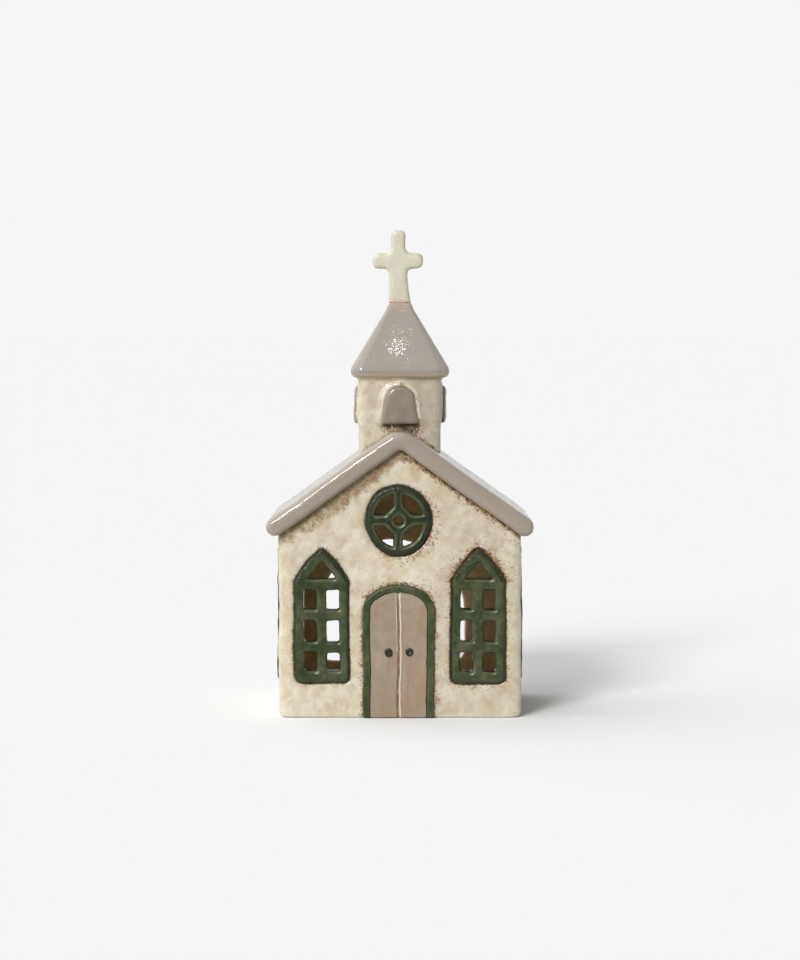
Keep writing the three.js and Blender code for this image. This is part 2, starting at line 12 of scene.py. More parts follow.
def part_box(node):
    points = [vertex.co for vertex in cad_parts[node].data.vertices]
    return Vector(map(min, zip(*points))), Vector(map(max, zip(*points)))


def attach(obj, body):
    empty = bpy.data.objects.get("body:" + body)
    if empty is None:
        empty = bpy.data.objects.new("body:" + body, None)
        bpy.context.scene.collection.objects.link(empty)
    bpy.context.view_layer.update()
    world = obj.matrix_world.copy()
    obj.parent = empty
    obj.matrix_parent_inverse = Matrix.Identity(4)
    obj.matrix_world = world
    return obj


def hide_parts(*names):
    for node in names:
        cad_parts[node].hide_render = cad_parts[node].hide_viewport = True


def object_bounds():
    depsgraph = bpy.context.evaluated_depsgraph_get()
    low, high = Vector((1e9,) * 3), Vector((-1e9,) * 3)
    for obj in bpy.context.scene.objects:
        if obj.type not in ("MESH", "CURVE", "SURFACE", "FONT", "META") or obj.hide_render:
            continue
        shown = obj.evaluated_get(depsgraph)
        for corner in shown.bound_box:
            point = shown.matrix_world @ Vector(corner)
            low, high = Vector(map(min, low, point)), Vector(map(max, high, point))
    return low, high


bl_info = {
    "name": "Church tealight holder",
    "version": (1, 0, 0),
    "blender": (4, 5, 0),
    "location": "View3D > Sidebar > Church",
    "description": "Glazed walls, roof, tower, windows, door and tealight of a small stoneware church",
    "category": "Object",
}

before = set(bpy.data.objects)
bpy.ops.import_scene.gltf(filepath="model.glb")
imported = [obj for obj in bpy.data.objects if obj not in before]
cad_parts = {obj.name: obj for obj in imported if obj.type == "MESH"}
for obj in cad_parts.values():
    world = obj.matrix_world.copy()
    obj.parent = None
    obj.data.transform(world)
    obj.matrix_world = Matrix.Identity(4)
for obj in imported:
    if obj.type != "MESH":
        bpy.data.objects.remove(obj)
frame_low, frame_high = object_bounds()

MM = 0.001
# Points nearer to each other than this are one point
WELD = 2e-6
# How near a point lies to a seat when it is drawn into what the piece is joined to
NEAR = 0.1 * MM
# Levels between which the clouds of a glaze go from none to full
CLOUDS_BEGIN, CLOUDS_END = 0.35, 0.7
# The waves of the unevenness have the same pattern in every run
WAVE_SEED = 3
noise.seed_set(WAVE_SEED)

# Where the walls end under the roof, read from the walls themselves
wall_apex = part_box("front_wall")[1].z
half_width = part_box("front_wall")[1].x
half_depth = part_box("back_wall")[1].y
wall_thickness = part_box("side_wall_right")[1].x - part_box("side_wall_right")[0].x
wall_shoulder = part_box("side_wall_right")[1].z
roof_rise = (wall_apex - wall_shoulder) / (half_width - wall_thickness)

# Where the oxide and the crumbs lie, read from the windows and the door
lancet_low, lancet_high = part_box("lancet_window_right")
lancet_shoulder = lancet_low.z + (lancet_high.z - lancet_low.z) * 0.75
door_low, door_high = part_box("door_surround")
rose_low, rose_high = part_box("rose_window")

WALLS = ("front_wall", "back_wall", "side_wall_left", "side_wall_right")
FRONT_WINDOWS = ("lancet_window_left", "lancet_window_right", "rose_window")
SIDE_WINDOWS = tuple(
    f"side_window_{side}_{end}" for side in ("left", "right") for end in ("front", "back"))
ROOF = ("roof_slope_left", "roof_slope_right")
QUARTERS = ("front", "right", "back", "left")


def linear(red, green, blue):
    """Scene colour of a colour given as red, green and blue from 0 to 255."""
    def channel(value):
        value /= 255
        return value / 12.92 if value <= 0.04045 else ((value + 0.055) / 1.055) ** 2.4
    return channel(red), channel(green), channel(blue)


def colour(name, description, red, green, blue):
    """Colour property with its default as red, green and blue from 0 to 255."""
    return FloatVectorProperty(
        name=name, description=description, subtype="COLOR", size=3, min=0, max=1,
        default=linear(red, green, blue),
    )


def length(name, description, millimetres):
    """Length property with its default in millimetres."""
    return FloatProperty(
        name=name, description=description, default=millimetres * MM, min=0, unit="LENGTH", precision=5,
    )


def angle(name, description, degrees):
    """Angle property with its default in degrees."""
    return FloatProperty(
        name=name, description=description, default=math.radians(degrees), subtype="ANGLE")


def amount(name, description, value):
    """Plain number property."""
    return FloatProperty(name=name, description=description, default=value, min=0, precision=3)


class ChurchGlazes(PropertyGroup):
    """Colours of the glazes, the clay and the tealight."""
    cream: colour("Cream", "Glaze of walls and tower", 194, 183, 158)
    cream_shade: colour("Cream shade", "Darker clouds in the cream", 174, 156, 126)
    milk: colour("Milk", "Thick white patches in the cream", 209, 203, 186)
    blush: colour("Blush", "Pink clay that shines through thin glaze", 188, 150, 124)
    ivory: colour("Ivory", "Glaze of the cross", 199, 195, 177)
    taupe: colour("Taupe", "Glaze of roof, spire and shutters", 141, 135, 127)
    taupe_warm: colour("Warm taupe", "Where the taupe is thin over the clay", 144, 132, 118)
    # Darker taupe that the shutters are laid in all over.
    taupe_dark: colour("Deep taupe", "Where the taupe is thickest", 126, 114, 98)
    green: colour("Bottle green", "Window frames and door surround", 35, 49, 15)
    # Deep green is also laid in the pane openings, partly as painted shade.
    green_deep: colour("Deep green", "Thickest green, at rims and in corners", 16, 26, 6)
    # Milky green is also laid on the bars' bevels as painted sheen.
    green_milky: colour("Milky green", "Where the green clouds over", 80, 82, 56)
    green_thin: colour("Thin green", "Where the green breaks over an edge", 128, 112, 48)
    door: colour("Door", "Glaze of the door leaves", 144, 131, 114)
    door_streak: colour("Door streaks", "Brown streaks down the door leaves", 142, 118, 92)
    olive: colour("Olive oxide", "Wash in the joints on the left", 122, 102, 64)
    rust: colour("Rust oxide", "Wash in the joints on the right", 136, 96, 60)
    ochre: colour("Ochre oxide", "Yellow crumbs among the brown ones", 150, 126, 60)
    umber: colour("Umber oxide", "Thickest wash, deep in a joint", 56, 42, 22)
    # Inside: painted far lighter than the brown wash inside, as painted light that brightens the dim
    # inside.
    inside: colour("Inside", "Thin wash over the clay inside", 244, 224, 182)
    clay: colour("Clay", "Bare clay under the floor", 168, 122, 84)
    foil: colour("Foil", "Aluminium of the tealight cup", 215, 216, 218)
    wax: colour("Wax", "White tealight wax", 240, 236, 224)
    cotton: colour("Cotton", "Waxed wick", 226, 220, 200)


class ChurchShape(PropertyGroup):
    """Sizes of what makes the pieces look cast and glazed by hand."""
    wall_mesh: length("Wall mesh", "Side of a face on the walls", 0.9)
    roof_mesh: length("Roof mesh", "Side of a face on the roof", 0.8)
    tower_mesh: length("Tower mesh", "Side of a face on tower and spire", 0.5)
    trim_mesh: length("Trim mesh", "Side of a face on windows, door and cross", 0.36)
    wax_mesh: length("Wax mesh", "Side of a face on the wax", 0.45)
    slack: length("Slack", "How far a flat stretch is drawn back onto its plane", 0.12)
    wave: length("Wave", "Distance between the wide waves", 17)
    waver: length("Waver", "Reach of the wide waves", 0.5)
    ripple: length("Ripple", "Distance between the short waves", 4.5)
    ripple_reach: length("Ripple reach", "Reach of the short waves", 0.26)
    footing: length("Footing", "Height over which the waves die out towards the foot", 9)
    tuck: length("Tuck", "How far a piece reaches into the one that it is joined to", 1.2)
    cross_flare: length("Cross flare", "How far the foot of the cross spreads to the right", 1.8)
    foot_curl: length("Foot curl", "Height to which the foot is rounded more", 2.5)
    # The band under the roof is oxide wash with a painted shadow of the roof mixed in; it reaches
    # furthest on the left.
    wash_and_shadow_left: length("Wash on the left", "Widest reach under the roof's left side", 8)
    wash_and_shadow_right: length("Wash on the right", "Reach under the roof's right side", 2.4)
    fringe: length("Fringe", "Reach of the dense oxide round windows and door", 1.5)
    halo: length("Halo", "Reach of the sparse oxide beyond the fringe", 4.5)
    groove: length("Groove", "How far each door leaf is drawn towards the other", 0.3)
    crumbs: length("Crumbs", "How far crumbs stand out on the heads of windows and door", 0.65)
    crumb_size: length("Crumb size", "Distance between the crumbs", 0.9)
    flutes: length("Flutes", "Depth of the flutes round the tealight cup", 0.09)
    meniscus: length("Meniscus", "How far the wax climbs at cup and wick", 0.5)


class ChurchStage(PropertyGroup):
    """Floor, light and camera."""
    backdrop: colour("Backdrop", "Colour of the floor and what lies behind", 246, 246, 246)
    floor_reach: length("Floor reach", "How far the floor runs to the sides and back", 100000)
    floor_front: length("Floor front", "How far the floor runs to the front", 620)
    sky: amount("Sky", "Light from all round", 0.25)
    back_fill: amount("Back fill", "How much brighter the sky is behind", 0.1)
    key: amount("Key light", "Strength of the light from the front left", 2.65)
    key_azimuth: angle("Key azimuth", "How far it stands in front of the church's left", 67)
    key_elevation: angle("Key elevation", "Its height", 27.5)
    key_spread: angle("Key spread", "Angle that it fills", 19)
    soft: amount("Soft light", "Strength of the broad light from the left", 1.65)
    soft_azimuth: angle("Soft azimuth", "How far it stands in front of the church's left", -8)
    soft_elevation: angle("Soft elevation", "Its height", 48)
    soft_spread: angle("Soft spread", "Angle that it fills", 95)
    dark_side: amount("Dark side", "What gloss shows of the room behind the camera", 0.12)
    spark: amount("Spark", "Power of the lamp that the spire mirrors", 0.02)
    spark_size: length("Spark size", "Side of that lamp", 4.5)
    spark_reach: length("Spark reach", "Its distance from the spire", 1500)
    spark_place: length("Spark place", "Height at which the spire mirrors it", 168.6)
    spark_left: length("Spark left", "How far left of the middle it does so", 1.7)
    spark_patch: length("Spark patch", "Reach over which its facing is averaged there", 2.5)
    camera_distance: length("Camera distance", "From the middle of the church to the camera", 1345)
    camera_height: length("Camera height", "Height of the camera over the floor", 171.93)
    camera_tilt: angle("Camera tilt", "How far the camera looks down", 2.855)
    camera_lens: amount("Lens", "Focal length in millimetres", 109.04)
    camera_film: amount("Film", "Width of the film in millimetres", 36)


class Nodes:
    """A node tree and a short way to add to it."""

    def __init__(self, tree):
        self.tree = tree

    def node(self, kind, inputs=None, **settings):
        """Node of a kind, with its settings and its inputs, each a value or another node's output."""
        node = self.tree.nodes.new(kind)
        for name, value in settings.items():
            setattr(node, name, value)
        for key, value in (inputs or {}).items():
            socket = node.inputs[key]
            if isinstance(value, bpy.types.NodeSocket):
                self.tree.links.new(value, socket)
            else:
                socket.default_value = value
        return node

    def worked(self, operation, first, second):
        """Two values put together by an operation."""
        return self.node("ShaderNodeMath", {0: first, 1: second}, operation=operation).outputs[0]

    def plus(self, first, *others):
        """Values added together."""
        for other in others:
            first = self.worked("ADD", first, other)
        return first

    def times(self, first, second):
        """Two values multiplied."""
        return self.worked("MULTIPLY", first, second)

    def step(self, value, low, high, to_low=0.0, to_high=1.0, kind="SMOOTHSTEP"):
        """Step of a value between two levels."""
        return self.node("ShaderNodeMapRange", {
            "Value": value, "From Min": low, "From Max": high, "To Min": to_low, "To Max": to_high,
        }, interpolation_type=kind).outputs[0]


class Finish(Nodes):
    """One material, its paint, and the few kinds of node that the finishes are put together from."""

    def __init__(self, paint, constants):
        self.material = bpy.data.materials.new("finish")
        self.material.use_nodes = True
        super().__init__(self.material.node_tree)
        self.shader = self.tree.nodes["Principled BSDF"]
        for socket, value in constants.items():
            self.shader.inputs[socket].default_value = value
        self.shader.inputs["Base Color"].default_value = (*paint, 1)
        self.paint = paint
        self.place = self.node("ShaderNodeTexCoord").outputs["Object"]

    def stretched(self, x, y, z):
        """Place on the object, drawn out along its axes."""
        return self.node("ShaderNodeMapping", {"Vector": self.place, "Scale": (x, y, z)}).outputs[0]

    def clouds(self, size, detail=3.0, roughness=0.55, swirl=0.0, place=None):
        """Noise from 0 to 1 whose features are about a size in millimetres across."""
        return self.node("ShaderNodeTexNoise", {
            "Vector": place or self.place, "Scale": 1 / (size * MM), "Detail": detail,
            "Roughness": roughness, "Distortion": swirl,
        }).outputs[0]

    def veins(self, size, width):
        """Thin winding lines, 1 in their middle and 0 past their width."""
        away = self.worked("SUBTRACT", self.clouds(size, 3, 0.6, 0.6), 0.5)
        return self.step(self.worked("ABSOLUTE", away, 0.0), 0.0, width, 1.0, 0.0)

    def attribute(self, name):
        """Value that a piece keeps at its points, or 0 where it keeps none."""
        return self.node("ShaderNodeAttribute", attribute_name=name).outputs["Fac"]

    def along(self, axis):
        """One coordinate of the place on the object."""
        return self.node("ShaderNodeSeparateXYZ", {"Vector": self.place}).outputs[axis]

    def dulled(self, size, smooth, rough):
        """Roughness that wanders in clouds between a smooth and a rough level."""
        return self.step(self.clouds(size), CLOUDS_BEGIN, CLOUDS_END, smooth, rough)

    def mix(self, factor, *colours):
        """Two colours mixed."""
        first, second = [
            paint if isinstance(paint, bpy.types.NodeSocket) else (*paint, 1) for paint in colours]
        return self.node("ShaderNodeMix", {0: factor, 6: first, 7: second}, data_type="RGBA").outputs[2]

    def over(self, layer, mask, low=None, high=None, share=1.0):
        """Lays a colour over the paint as far as a mask says, or where it rises from low to high."""
        if high is not None:
            mask = self.step(mask, low, high, 0.0, share)
        self.paint = self.mix(mask, self.paint, layer)

    def relief(self, height, depth, below=None):
        """Bump of a height from 0 to 1 that stands a depth in millimetres high."""
        inputs = {"Height": height, "Distance": depth * MM, "Strength": 1.0}
        if below is not None:
            inputs["Normal"] = below
        return self.node("ShaderNodeBump", inputs).outputs[0]

    def finish(self, roughness, normal):
        """Joins the paint, the roughness and the bump to the shader and gives the material."""
        results = {
            "Base Color": self.paint, "Roughness": roughness, "Normal": normal, "Coat Normal": normal,
        }
        for socket, value in results.items():
            self.tree.links.new(value, self.shader.inputs[socket])
        return self.material


def oxide_wash(made, glazes):
    """Lays in the brown wash that is left in the joints, olive on the left and rust on the right,
    together with the painted shadow that a piece's wash mark carries.
    """
    patches = made.clouds(4.5, 3, 0.6)
    grain = made.clouds(1.1, 3, 0.65, 0.9)
    side = made.plus(made.along("X"), made.times(made.clouds(5), 0.2))
    stain = made.mix(made.step(side, 0.07, 0.11), glazes.olive, glazes.rust)
    wash = made.plus(made.attribute("wash"), made.times(patches, 2.2), made.times(grain, 0.8))
    made.over(stain, wash, 1.8, 2.6, 0.85)
    oxide = made.times(made.attribute("oxide"), 1.6)
    level = made.plus(oxide, made.times(grain, 3), made.times(patches, 0.9))
    made.over(stain, level, 2.6, 2.9, 0.8)
    yellow = made.plus(oxide, made.times(made.clouds(1.4, 3, 0.65, 0.9), 3))
    made.over(glazes.ochre, yellow, 2.75, 2.95, 0.7)
    made.over(glazes.umber, level, 3.05, 3.35, 0.9)
    soot = made.plus(made.attribute("soot"), made.times(grain, 1.6))
    made.over(glazes.umber, soot, 1.3, 1.5, 0.9)


def cream_glaze(glazes):
    """Warm white glaze, curdled and flecked, stained in the joints and thin inside; it also carries
    painted shade, painted shadow and painted light where the pieces mark them.
    """
    made = Finish(glazes.cream, {"Coat Weight": 0.3, "Coat Roughness": 0.08})
    made.over(glazes.cream_shade, made.clouds(9, 5, 0.6, 0.4), 0.38, 0.7, 0.75)
    made.over(glazes.milk, made.clouds(6, 5, 0.65, 0.5), 0.4, 0.68, 0.8)
    # Painted shade: the shade mark darkens the cream towards taupe on the front wall's right and the
    # tower's right half.
    made.over(glazes.taupe, made.attribute("shade"))
    patches = made.clouds(11)
    pink = made.plus(patches, made.times(made.clouds(1.5, 4, 0.7, 0.8), 0.9))
    made.over(glazes.blush, pink, 1.05, 1.25, 0.4)
    veined = made.step(patches, 0.45, 0.65, 0, 0.5)
    made.over(glazes.blush, made.times(made.veins(3, 0.02), veined))
    flecks = made.plus(made.clouds(0.75, 2, 0.6), made.times(patches, 0.3))
    made.over(glazes.rust, flecks, 0.85, 0.92, 0.8)
    made.over(glazes.milk, made.attribute("thin"), 0.05, 0.2, 0.85)
    oxide_wash(made, glazes)
    smoked = made.step(made.clouds(9, 4, 0.6), 0.3, 0.7, 0.1, 0.4)
    # raw points take the inside colour, which is painted light over the brown inside.
    made.over(made.mix(smoked, glazes.inside, glazes.olive), made.attribute("raw"))
    dimples = made.relief(made.clouds(4), 0.2)
    crumbs = made.times(made.attribute("oxide"), made.clouds(0.6))
    pores = made.relief(made.plus(made.clouds(0.8, 4, 0.6), crumbs), 0.06, dimples)
    return made.finish(made.dulled(5, 0.32, 0.5), pores)


def ivory_glaze(glazes):
    """Thick pale glaze of the cross, browner where it breaks over the clay."""
    made = Finish(glazes.ivory, {"Coat Weight": 0.12, "Coat Roughness": 0.15})
    made.over(glazes.cream, made.clouds(6), 0.4, 0.7, 0.5)
    made.over(glazes.blush, made.attribute("blush"))
    oxide_wash(made, glazes)
    return made.finish(made.dulled(4, 0.38, 0.5), made.relief(made.clouds(3), 0.15))


def taupe_glaze(glazes):
    """Glossy grey-brown glaze with warmer clouds, thin edges and fine grains that break up its gloss."""
    made = Finish(glazes.taupe, {"Coat Weight": 0.68, "Coat Roughness": 0.03})
    warm = made.step(made.clouds(9, 4, 0.6), 0.35, 0.75, 0, 0.7)
    made.over(glazes.taupe_warm, made.plus(made.attribute("warm"), warm))
    made.over(glazes.cream_shade, made.clouds(2.5, 4, 0.65), 0.55, 0.75, 0.25)
    made.over(glazes.cream_shade, made.attribute("thin"), 0.12, 0.5, 0.3)
    made.over(glazes.blush, made.attribute("blush"))
    oxide_wash(made, glazes)
    # Raw points under the roof take the inside colour, which is painted light.
    made.over(glazes.inside, made.attribute("raw"))
    # The deep mark lays the darker taupe over the shutters.
    made.over(glazes.taupe_dark, made.attribute("deep"))
    # The cream underside of the spire's rim is laid in the darker cream shade, a painted shadow under the
    # rim.
    made.over(glazes.cream_shade, made.attribute("under"))
    waves = made.relief(made.clouds(0.8, 1, 0.5), 0.0034)
    grainy = made.step(made.clouds(1, 2, 0.6), 0.48, 0.6)
    grains = made.relief(made.times(grainy, made.clouds(0.35, 2)), 0.02, waves)
    return made.finish(made.dulled(4, 0.48, 0.62), grains)


def green_glaze(glazes):
    """Bottle-green glaze: milky in clouds and, as painted sheen, down the bars' bevels; deep at the rims
    and, partly as painted shade, in the openings; olive where it breaks.
    """
    made = Finish(glazes.green, {
        "Coat Weight": 0.12, "Coat Roughness": 0.08, "Specular IOR Level": 0.3,
    })
    wide = made.clouds(9, 3, 0.6)
    clouds = made.clouds(2.6, 4, 0.6, 0.6)
    slope = made.attribute("slope")
    # Painted sheen: the sloping bevels of the bars are clouded milky, as the gloss shows them.
    milk = made.plus(made.step(slope, 0.02, 0.2, 0, 0.2), clouds, made.times(wide, 1.6))
    made.over(glazes.green_milky, milk, 0.95, 1.75, 0.95)
    rim = made.attribute("rim")
    # Deep green in the pane openings: glaze pooled there, partly painted shade.
    pooled_and_shaded_jamb = made.step(slope, 0.35, 0.7, 0, 0.9)
    deep = made.plus(made.worked("MAXIMUM", rim, pooled_and_shaded_jamb), clouds, made.times(wide, 0.5))
    made.over(glazes.green_deep, deep, 1.0, 1.35, 0.9)
    crumbs = made.attribute("crumbs")
    grain = made.clouds(0.8, 4, 0.75)
    thin = made.plus(made.times(rim, 0.5), made.times(crumbs, 0.6), made.times(grain, 3))
    made.over(glazes.green_thin, thin, 2.5, 2.8, 0.85)
    dark = made.plus(crumbs, made.times(made.clouds(1.1, 3, 0.65, 0.9), 3))
    made.over(glazes.umber, dark, 2.25, 2.55, 0.9)
    roughness = made.plus(made.dulled(2, 0.3, 0.42), made.times(crumbs, 0.4))
    return made.finish(roughness, made.relief(made.clouds(1.6, 4, 0.6), 0.07))


def door_glaze(glazes):
    """Grey-pink glaze brushed down the door leaves, brown where it is thin and cream at its edges, where
    the cream lines are partly painted highlights.
    """
    made = Finish(glazes.door, {"Coat Weight": 0.35, "Coat Roughness": 0.08})
    streaks = made.clouds(1.8, 4, 0.6, 0.2, made.stretched(1, 1, 0.09))
    patches = made.clouds(14)
    foot = made.step(made.along("Z"), 0.0, 45 * MM, 0.15, 0)
    made.over(glazes.door_streak, made.plus(streaks, patches, foot), 0.9, 1.3, 0.8)
    made.over(glazes.blush, made.clouds(3, 3, 0.6, 0.2, made.stretched(1, 1, 0.15)), 0.55, 0.75, 0.25)
    uneven = made.times(streaks, 0.4)
    # The thin mark lays pale lines that are partly painted highlights.
    made.over(glazes.milk, made.plus(made.attribute("thin"), uneven), 0.5, 1.0, 0.85)
    made.over(glazes.rust, made.plus(made.attribute("oxide"), uneven), 0.5, 1.0, 0.95)
    waves = made.relief(made.plus(streaks, made.clouds(3)), 0.1)
    return made.finish(made.step(patches, 0.3, 0.7, 0.2, 0.34), waves)


def bare_clay(glazes):
    """Unglazed brown clay, grainy and dull, laid over the inside colour, which is painted light."""
    made = Finish(glazes.inside, {})
    made.over(glazes.clay, made.clouds(7, 4))
    grog = made.step(made.clouds(0.9, 4, 0.7), 0.6, 0.72, 0, 0.5)
    made.over(glazes.cream_shade, grog)
    return made.finish(made.step(grog, 0, 1, 0.65, 0.85), made.relief(made.clouds(0.7, 4), 0.12))


def foil(glazes):
    """Thin drawn aluminium with fine wrinkles."""
    made = Finish(glazes.foil, {"Metallic": 1.0})
    made.over(glazes.taupe, made.clouds(6), 0.4, 0.7, 0.3)
    brushed = made.clouds(1.2, 3, 0.6, 0, made.stretched(1, 1, 0.15))
    return made.finish(made.step(brushed, 0.3, 0.7, 0.22, 0.4), made.relief(brushed, 0.03))


def wax(glazes):
    """White wax with a soft waxy sheen."""
    made = Finish(glazes.wax, {
        "Subsurface Weight": 0.3, "Subsurface Scale": 1.0,
        "Subsurface Radius": (2 * MM, 1.4 * MM, 1 * MM),
    })
    clouds = made.step(made.clouds(8), 0.4, 0.7, 0, 0.5)
    made.over(glazes.milk, clouds)
    return made.finish(made.step(clouds, 0, 1, 0.4, 0.55), made.relief(made.clouds(1.5), 0.06))


def wick_cotton(glazes):
    """Waxed cotton, darker between its strands."""
    made = Finish(glazes.cotton, {})
    fibres = made.clouds(0.3, 4, 0.7, 0, made.stretched(1, 1, 0.3))
    made.over(glazes.cream_shade, fibres)
    return made.finish(made.step(fibres, 0, 1, 0.6, 0.8), made.relief(fibres, 0.06))


FINISHES = {made.__name__: made for made in (
    cream_glaze, ivory_glaze, taupe_glaze, green_glaze, door_glaze, bare_clay, foil, wax, wick_cotton)}


def finish_for(slot):
    """Material of a slot, made the first time that it is asked for."""
    name = f"{slot}_finish"
    if name not in bpy.data.materials:
        FINISHES[slot](bpy.context.scene.church_glazes).name = name
    return bpy.data.materials[name]


def put(name, data):
    """New object in the scene that holds a mesh, a light or a camera."""
    holder = bpy.data.objects.new(name, data)
    bpy.context.scene.collection.objects.link(holder)
    return holder


def clamped(value):
    """Value kept from 0 to 1."""
    return min(1.0, max(0.0, value))


def gathered(*names):
    """Merged copy of one or more of the frame's solids."""
    whole = bmesh.new()
    for name in names:
        part = bmesh.new()
        part.from_mesh(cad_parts[name].data)
        bmesh.ops.remove_doubles(part, verts=part.verts, dist=WELD)
        copy = bpy.data.meshes.new(f"copy_{name}")
        part.to_mesh(copy)
        part.free()
        whole.from_mesh(copy)
        bpy.data.meshes.remove(copy)
    return whole


def evened(shape, side):
    """Shape as one skin of even square faces with a given side."""
    mesh = bpy.data.meshes.new("evened")
    shape.to_mesh(mesh)
    shape.free()
    holder = put("evened", mesh)
    remesh = holder.modifiers.new("even", "REMESH")
    remesh.mode = "VOXEL"
    remesh.voxel_size = side
    depsgraph = bpy.context.evaluated_depsgraph_get()
    skin = bpy.data.meshes.new_from_object(holder.evaluated_get(depsgraph))
    result = bmesh.new()
    result.from_mesh(skin)
    bpy.data.objects.remove(holder)
    bpy.data.meshes.remove(mesh)
    bpy.data.meshes.remove(skin)
    return result


def smooth(shape, rounds, chosen=None):
    """Evens out all the points, or those that pass a test, which rounds the edges."""
    verts = [vert for vert in shape.verts if chosen(vert)] if chosen else shape.verts
    for _ in range(rounds):
        bmesh.ops.smooth_vert(
            shape, verts=verts, factor=0.5, use_axis_x=True, use_axis_y=True, use_axis_z=True)


def fired(shape, side, rounds, swell=0.0, held=lambda vert: True):
    """Swollen skin of a shape, its edges rounded as thick glaze rounds them and flat where it is held."""
    slack = bpy.context.scene.church_shape.slack
    tree = BVHTree.FromBMesh(shape)
    skin = evened(shape, side)
    smooth(skin, rounds)
    for vert in skin.verts:
        if held(vert):
            place, _, _, distance = tree.find_nearest(vert.co)
            vert.co = vert.co.lerp(place, clamped(2 - 2 * distance / slack))
    smooth(skin, 1)
    skin.normal_update()
    for vert in skin.verts:
        vert.co += vert.normal * swell
    return skin


def waver(shape, share=1.0):
    """Moves the points by a share of the unevenness that all the pieces of the church have in common."""
    sizes = bpy.context.scene.church_shape
    for vert in shape.verts:
        part = share * clamped(vert.co.z / sizes.footing)
        wide = noise.noise_vector(vert.co / sizes.wave) * sizes.waver
        short = noise.noise_vector(vert.co / sizes.ripple) * sizes.ripple_reach
        vert.co += (wide + short) * part


def mark(shape, **values):
    """Keeps values from 0 to 1 at each point, under names that the finishes read."""
    for name, value_at in values.items():
        layer = shape.verts.layers.float.new(name)
        for vert in shape.verts:
            vert[layer] = clamped(value_at(vert))


def crust(shape, value_at):
    """Crumbs of oxide that stand out where a value is high."""
    mark(shape, crumbs=value_at)
    layer = shape.verts.layers.float["crumbs"]
    sizes = bpy.context.scene.church_shape
    for vert in shape.verts:
        vert.co += vert.normal * sizes.crumbs * vert[layer] * noise.noise(vert.co / sizes.crumb_size)


def sharpness(vert):
    """How far the surface turns outward at a point, in radians."""
    return sum(edge.calc_face_angle_signed(0.0) for edge in vert.link_edges) / len(vert.link_edges)


def gap_to(*names):
    """Function that gives how far a place is from other solids of the frame."""
    solids = gathered(*names)
    tree = BVHTree.FromBMesh(solids)
    solids.free()
    return lambda place: tree.find_nearest(place)[3]


def laid_in(place, axis, reach):
    """Place moved along an axis until it is no further out than a reach."""
    moved = place.copy()
    moved[axis] = math.copysign(min(abs(moved[axis]), reach), moved[axis])
    return moved


def fade(distance, reach, power=1):
    """Falls from 1 at no distance or before towards 0 past a reach, more steeply with a higher power."""
    return math.exp(-(max(0.0, distance) / reach) ** power)


def add_piece(name, shape, slot, replaced, body="church"):
    """Adds a finished piece of the church or the tealight, kept inside the frame's box."""
    for vert in shape.verts:
        for axis in range(3):
            vert.co[axis] = min(max(vert.co[axis], frame_low[axis]), frame_high[axis])
    mesh = bpy.data.meshes.new(name)
    shape.to_mesh(mesh)
    shape.free()
    mesh.shade_smooth()
    mesh.materials.append(finish_for(slot))
    piece = put(name, mesh)
    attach(piece, body)
    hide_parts(*replaced)


